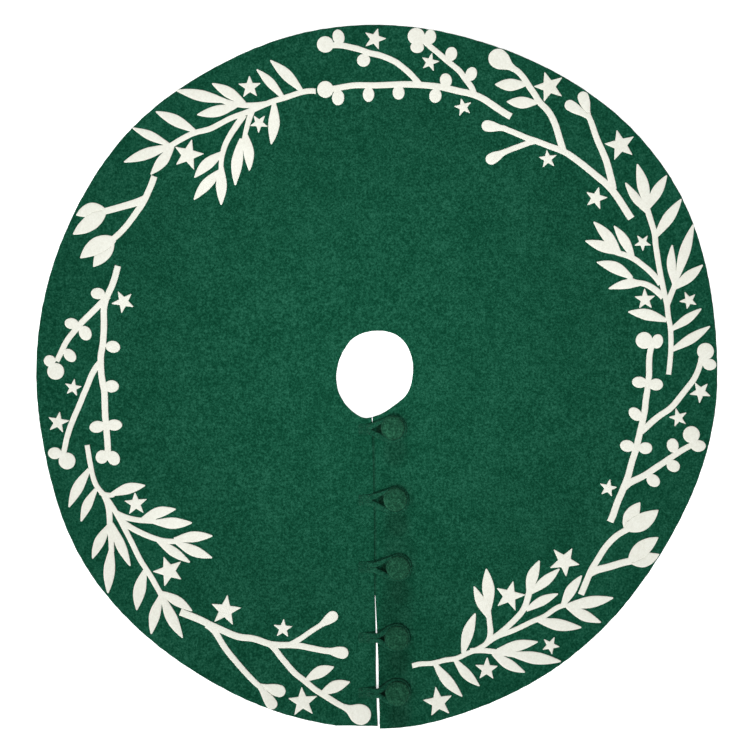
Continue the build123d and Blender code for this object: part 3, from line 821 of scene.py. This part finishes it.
def smooth_line(points, count):
    """A curve through the points, evenly sampled."""
    points = np.array(points, float)
    ends = np.vstack([2 * points[0] - points[1], points, 2 * points[-1] - points[-2]])
    fine = []
    for i in range(1, len(ends) - 2):
        a, b, c, d = ends[i - 1:i + 3]
        for t in np.linspace(0, 1, 12, endpoint=False):
            fine.append(0.5 * (2 * b + (c - a) * t + (2 * a - 5 * b + 4 * c - d) * t * t
                               + (3 * b - a - 3 * c + d) * t ** 3))
    fine.append(points[-1])
    fine = np.array(fine)
    along = np.concatenate([[0], np.cumsum(np.linalg.norm(np.diff(fine, axis=0), axis=1))])
    at = np.linspace(0, along[-1], count)
    return np.column_stack([np.interp(at, along, fine[:, i]) for i in range(points.shape[1])])


def make_button(number):
    """A domed blank covered with felt that is gathered underneath."""
    bx, by = BUTTONS[number]
    lean_x, lean_y, size = HEAD_LEAN[number]
    seed = 9 * number
    profile = smooth_line(HEAD_SIDE, HEAD_ROWS)
    points = []
    for radius, z in profile[1:-1]:
        for i in range(HEAD_ROUND):
            turn = 2 * math.pi * i / HEAD_ROUND
            x = radius * math.cos(turn)
            y = radius * math.sin(turn)
            lump = BROAD_LUMP * noise.noise((x / 10 + seed, y / 10, z / 9))
            lump += FINE_LUMP * noise.noise((x / 4.2 + seed, y / 4.2, z / 4.2))
            under = max(0.0, min(1.0, (WIDEST[0] - z) / 5))
            gather = GATHER * under * math.cos(19 * turn + 1.3 * math.sin(3 * turn + number))
            swell = size * (1 + (lump + gather) / WIDEST[1])
            rise = 0.75 * lump * (1 - under)
            leans = min(1.0, max(0.0, (z - 5) / 6))
            points.append((bx + lean_x * leans + x * swell, by + lean_y * leans + y * swell, z + rise))
    rows = len(profile) - 2
    faces = []
    for k in range(rows - 1):
        for i in range(HEAD_ROUND):
            j = (i + 1) % HEAD_ROUND
            a = k * HEAD_ROUND
            faces.append((a + i, a + j, a + HEAD_ROUND + j, a + HEAD_ROUND + i))
    points.append((bx, by, float(profile[0][1])))
    points.append((bx + lean_x, by + lean_y, float(profile[-1][1])))
    low, high = len(points) - 2, len(points) - 1
    last = (rows - 1) * HEAD_ROUND
    for i in range(HEAD_ROUND):
        j = (i + 1) % HEAD_ROUND
        faces.append((low, j, i))
        faces.append((high, last + i, last + j))
    cover = mesh_object(f"button_{number}_felt_cover", points, faces, BUTTON_FELT, 0)
    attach(cover, f"button_{number}")
    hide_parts(f"button_{number}_cover")


def tube(path, across, up, sides):
    """A closed tube along a path: half widths across and up at each point, level with the floor."""
    path = np.array(path, float)
    ahead = np.gradient(path, axis=0)
    ahead /= np.linalg.norm(ahead, axis=1, keepdims=True)
    side = np.cross(ahead, (0.0, 0.0, 1.0))
    flat = np.linalg.norm(side, axis=1)
    side[flat < 1e-3] = (1.0, 0.0, 0.0)
    side /= np.linalg.norm(side, axis=1, keepdims=True)
    rise = np.cross(side, ahead)
    points = []
    for k in range(len(path)):
        for i in range(sides):
            turn = 2 * math.pi * i / sides
            u = math.copysign(abs(math.cos(turn)) ** 0.8, math.cos(turn)) * across[k]
            v = math.copysign(abs(math.sin(turn)) ** 0.8, math.sin(turn)) * up[k]
            points.append(path[k] + side[k] * u + rise[k] * v)
    faces = []
    for k in range(len(path) - 1):
        for i in range(sides):
            j = (i + 1) % sides
            a = k * sides
            faces.append((a + i, a + sides + i, a + sides + j, a + j))
    points.append(path[0])
    points.append(path[-1])
    first, last, end = len(points) - 2, len(points) - 1, (len(path) - 1) * sides
    for i in range(sides):
        j = (i + 1) % sides
        faces.append((first, i, j))
        faces.append((last, end + j, end + i))
    return points, faces


def joined(name, parts, material, smooth_angle=0):
    """Several closed shapes as one piece."""
    points = []
    faces = []
    for part_points, part_faces in parts:
        shift = len(points)
        points += [tuple(p) for p in part_points]
        faces += [tuple(i + shift for i in face) for face in part_faces]
    return mesh_object(name, points, faces, material, smooth_angle)


SHANK_TOP = 7.0         # where the wound thread goes into the head
SHANK_ROUND = 3.5       # its core's radius
SHANK_TURNS = 7
THREAD_ROUND = 0.42     # half the thread's thickness
STITCH_REACH = 3.2      # half the length of a stitch on the underside


def make_threads(number):
    """The wound shank between button and felt, and the stitches on the underside."""
    bx, by = BUTTONS[number]
    under = lift(bx, by)
    foot = under + FELT + 0.2
    parts = []
    path = []
    for i in range(SHANK_TURNS * 20 + 1):
        a = 2 * math.pi * i / 20
        z = foot + (SHANK_TOP - foot) * i / (SHANK_TURNS * 20)
        path.append((bx + 3.7 * math.cos(a), by + 3.7 * math.sin(a), z))
    parts.append(tube(path, [THREAD_ROUND] * len(path), [THREAD_ROUND] * len(path), 6))
    core = [(bx, by, z) for z in np.linspace(under + 0.4, SHANK_TOP, 5)]
    parts.append(tube(core, [SHANK_ROUND] * 5, [SHANK_ROUND] * 5, 16))
    for turn in (20, 65, 110, 155):
        a = math.radians(turn + 11 * number)
        path = []
        for r in np.linspace(-STITCH_REACH, STITCH_REACH, 7):
            z = under - 0.25 + 0.10 * (abs(r) > 3)
            path.append((bx + r * math.cos(a), by + r * math.sin(a), z))
        parts.append(tube(path, [0.4] * 7, [0.3] * 7, 6))
    piece = joined(f"button_{number}_wound_thread", parts, THREAD)
    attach(piece, f"button_{number}")
    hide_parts(f"button_{number}_thread")


# ---- loops ----
# for each loop: how far along the slit its tails and its ring sit off the button's middle, how wide a
# strand is at the slit, and how far past the root the two strands stay together
LOOP_LIE = {1: (-2.4, -1.8, 12.5, -1.0), 2: (-1.2, -1.6, 12.5, 1.0), 3: (1.3, 0.2, 12.5, 9.0),
            4: (0.0, 0.2, 12.0, 16.5), 5: (-0.4, 1.0, 12.0, 18.0)}
RING = 26.7          # radius of a strand's middle line round the button
RING_WIDE = 6.6      # width of a strand round the button
STRAND_HIGH = 5.2    # thickness of a strand round the button
FORK_HIGH = 9.6      # and where the strands part
TAIL_HIGH = 1.6      # and at the sewn end
ROOT_X = -12.0       # where the stitching ends and the free loop starts
TAIL_X = -41.0       # left end of the strands
WOBBLE = 0.35        # how far a strand wanders sideways
ROUGH = 0.16         # how far its surface does


def soft_step(value, low, high):
    """0 below low and 1 above high, with a soft step between."""
    share = max(0.0, min(1.0, (value - low) / (high - low)))
    return share * share * (3 - 2 * share)


def strand_high(x, bx):
    """A strand's thickness: flattened at the sewn end, fullest where the strands part."""
    rise = soft_step(x, TAIL_X + 14, ROOT_X + 12)
    fall = soft_step(x, bx - 34, bx - 8)
    return TAIL_HIGH + (FORK_HIGH - TAIL_HIGH) * rise + (STRAND_HIGH - FORK_HIGH) * fall


def make_loop(number):
    """A folded felt strip: two strands side by side on the flap that part and go round the button."""
    bx, by = BUTTONS[number]
    tail_low, ring_low, wide, together = LOOP_LIE[number]
    half = wide / 2
    part_x = ROOT_X + together
    upper = [(TAIL_X, half - 1.6), (TAIL_X + 12, half - 0.9), (ROOT_X - 6, half - 0.5),
             (part_x, half - 0.05)]
    if together > 8:
        upper.insert(3, (ROOT_X + 4, half - 0.2))
    ring = []
    for turn in range(122, -123, -12):
        a = math.radians(turn)
        ring.append((bx + RING * math.cos(a), RING * math.sin(a) + ring_low))
    line = [(x, y + tail_low) for x, y in upper] + ring + [(x, tail_low - y) for x, y in upper[::-1]]
    flat = smooth_line(line, 150)
    path = []
    across = []
    up = []
    for k, (x, y) in enumerate(flat):
        wobble = WOBBLE * noise.noise((x / 13, y / 13, 5.0 * number))
        full = y < tail_low or number > 3
        share = soft_step(x, bx - 27, bx + 2) if full else soft_step(x, part_x - 2, bx - 12)
        width = wide + (RING_WIDE - wide) * share
        end = min(1.0, (k + 0.35) / 5, (len(flat) - k - 0.65) / 5)
        squeeze = math.sqrt(max(0.04, 1 - (1 - end) ** 2))
        high = strand_high(x, bx)
        path.append((x, by + y + wobble, ground(x, by + y) + high / 2 + 0.1 + 0.2 * (1 - share)))
        across.append(width / 2 * squeeze * (1 + 0.05 * noise.noise((x / 7, y / 7, 2.0))))
        up.append(high / 2 * squeeze)
    points, faces = tube(path, across, up, 20)
    rough = []
    for x, y, z in points:
        bump = ROUGH * noise.noise((x / 2.6, y / 2.6, z / 2.6 + 11.0 * number))
        rough.append((x + bump, y + bump, z + bump))
    loop = mesh_object(f"loop_{number}_felt_strip", rough, faces, LOOP_FELT, 0)
    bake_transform(loop)
    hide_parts(f"loop_{number}", f"loop_{number}_tail")


def make_stitches(number):
    """Rows of small stitches that hold the two strands to the flap."""
    bx, by = BUTTONS[number]
    tail_low, _, wide, _ = LOOP_LIE[number]
    parts = []
    for x in (TAIL_X + 4, TAIL_X + 9, ROOT_X - 9, ROOT_X - 5):
        for side in (-1, 1):
            for step in (-0.3, 0.0, 0.3):
                y = by + tail_low + side * (wide / 2 - 0.8) + step * wide
                top = ground(x, y) + strand_high(x, bx) + 0.1
                edge = abs(step) * 1.6
                path = [(x - 0.4, y - 1.5, top - 0.9 - edge), (x - 0.2, y - 0.9, top + 0.12 - edge),
                        (x, y, top + 0.22 - edge), (x + 0.2, y + 0.9, top + 0.12 - edge),
                        (x + 0.4, y + 1.5, top - 0.9 - edge)]
                parts.append(tube(path, [0.32] * 5, [0.28] * 5, 6))
    piece = joined(f"loop_{number}_stitches", parts, THREAD)
    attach(piece, "flap")


def make_floor():
    """A floor that runs out of sight on every side."""
    size = 40.0
    corners = [(-size, -size, 0), (size, -size, 0), (size, size, 0), (-size, size, 0)]
    mesh = bpy.data.meshes.new("floor")
    mesh.from_pydata(corners, [], [(0, 1, 2, 3)])
    mesh.materials.append(floor_material())
    floor = bpy.data.objects.new("floor", mesh)
    bpy.context.scene.collection.objects.link(floor)


make_floor()
panels = make_skirt()
make_trims()
for number in LOOPS:
    make_button(number)
    make_threads(number)
    make_loop(number)
    make_stitches(number)
    core = nodes[f"button_{number}_core"]
    core.data.materials.clear()
    core.data.materials.append(WOOD)
